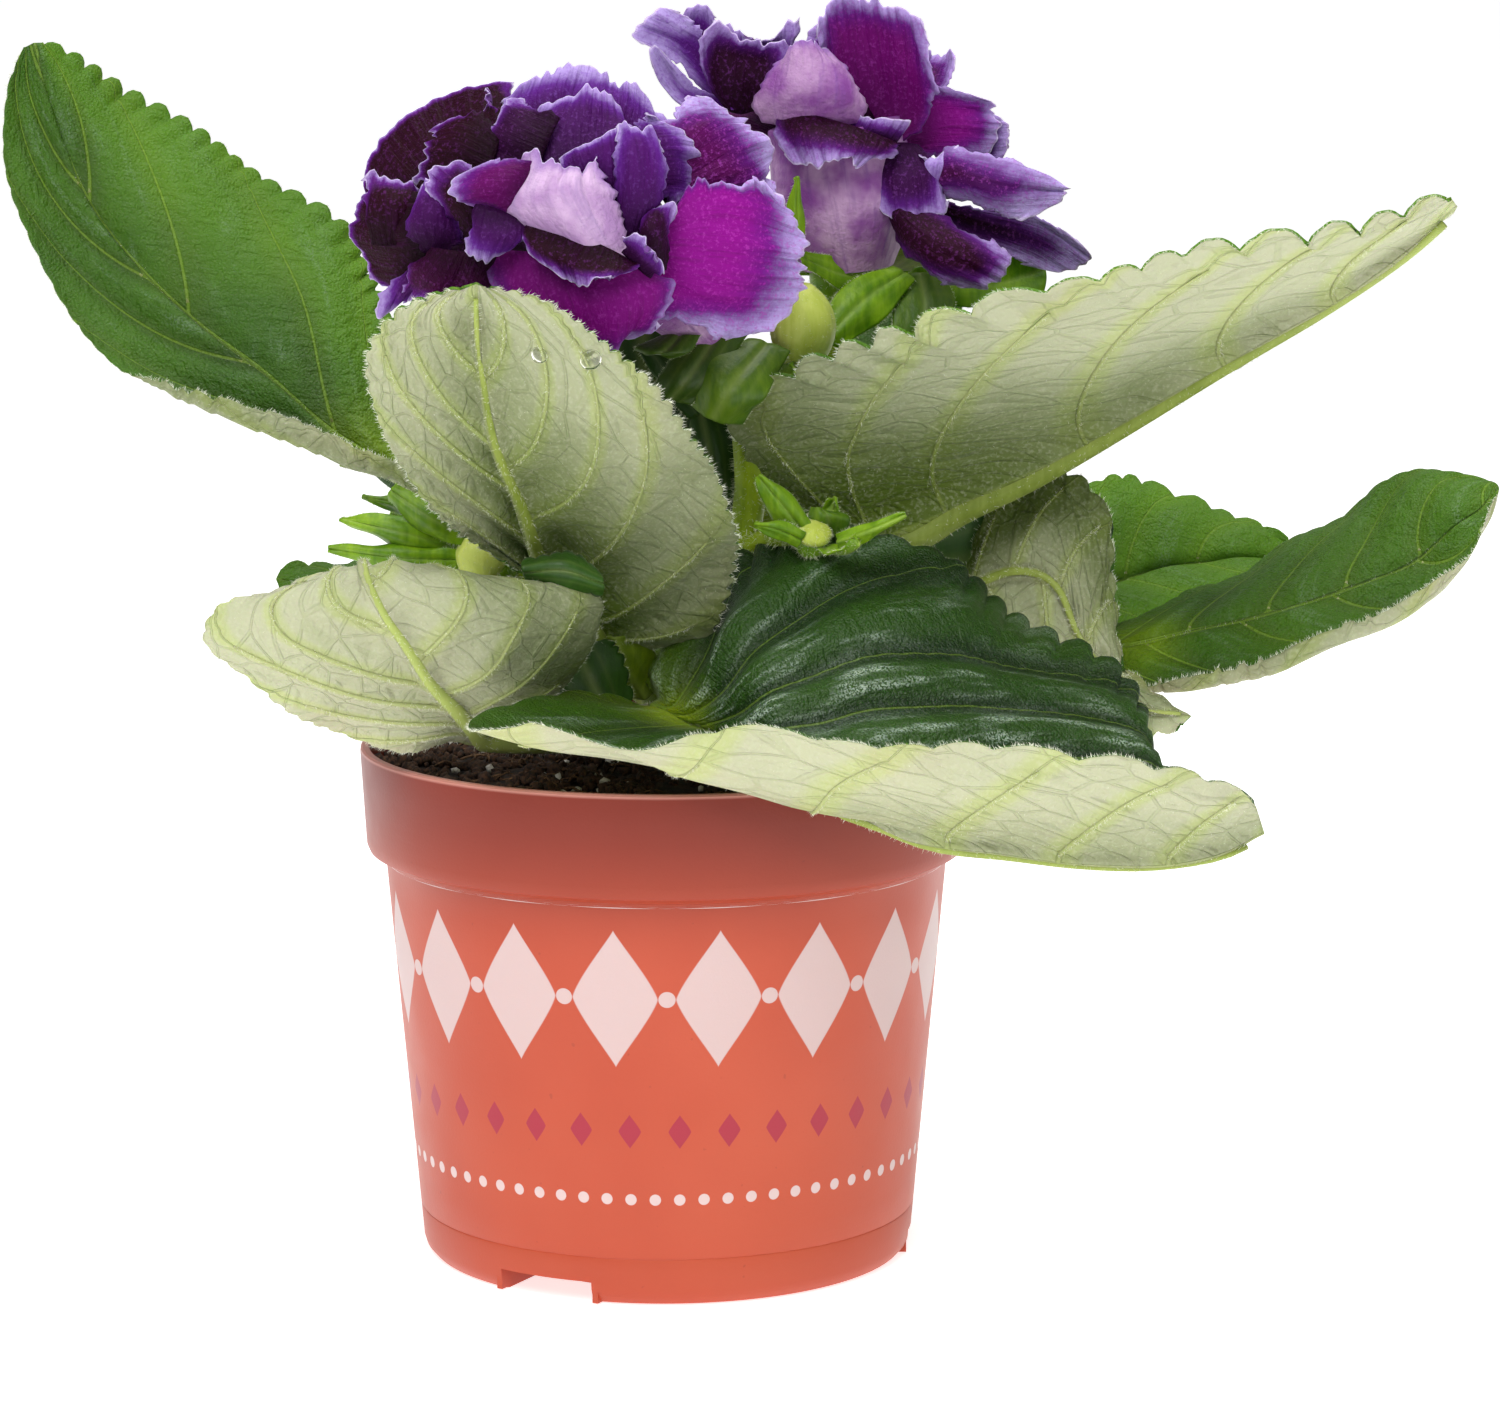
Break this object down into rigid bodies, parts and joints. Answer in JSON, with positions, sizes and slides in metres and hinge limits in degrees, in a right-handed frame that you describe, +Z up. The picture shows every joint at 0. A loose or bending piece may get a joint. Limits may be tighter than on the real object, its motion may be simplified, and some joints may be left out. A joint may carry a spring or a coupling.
{
  "type": "double-flowered gloxinia in a plastic nursery pot",
  "caption": "Potted gloxinia: round plastic nursery pot of soil, a rosette of broad scalloped hairy leaves, ruffled white-edged violet double blooms on short stalks, and green buds.",
  "frame": {"origin": "centre of the pot's flat underside, on the surface it stands on", "axes": "+Z up the pot's axis, -Y towards the front of the plant, +X to its right along the widest spread of leaves"},
  "size_m": [0.295, 0.1934, 0.2446],
  "materials": {
    "pot_plastic": "satin",
    "soil": "matte",
    "stem": "matte",
    "leaf": "matte",
    "petal": "matte",
    "bud": "matte",
    "sepal": "matte"
  },
  "bodies": {
    "root": {"pot": "pot_plastic", "soil": "soil", "stem": "stem", "leaf_left_high": "leaf", "leaf_front_left_high": "leaf", "leaf_right_high": "leaf", "leaf_right": "leaf", "leaf_right_back": "leaf", "leaf_left_low": "leaf", "leaf_front": "leaf", "leaf_right_middle": "leaf", "leaf_left_back": "leaf", "leaf_back_left": "leaf", "leaf_back_right": "leaf", "bloom_front": "petal", "bloom_back": "petal", "bud_right": "bud", "bud_star": "bud", "bud_left": "bud", "calyx_front": "sepal", "calyx_back": "sepal", "calyx_star": "sepal", "calyx_left": "sepal"}
  },
  "joints": []
}
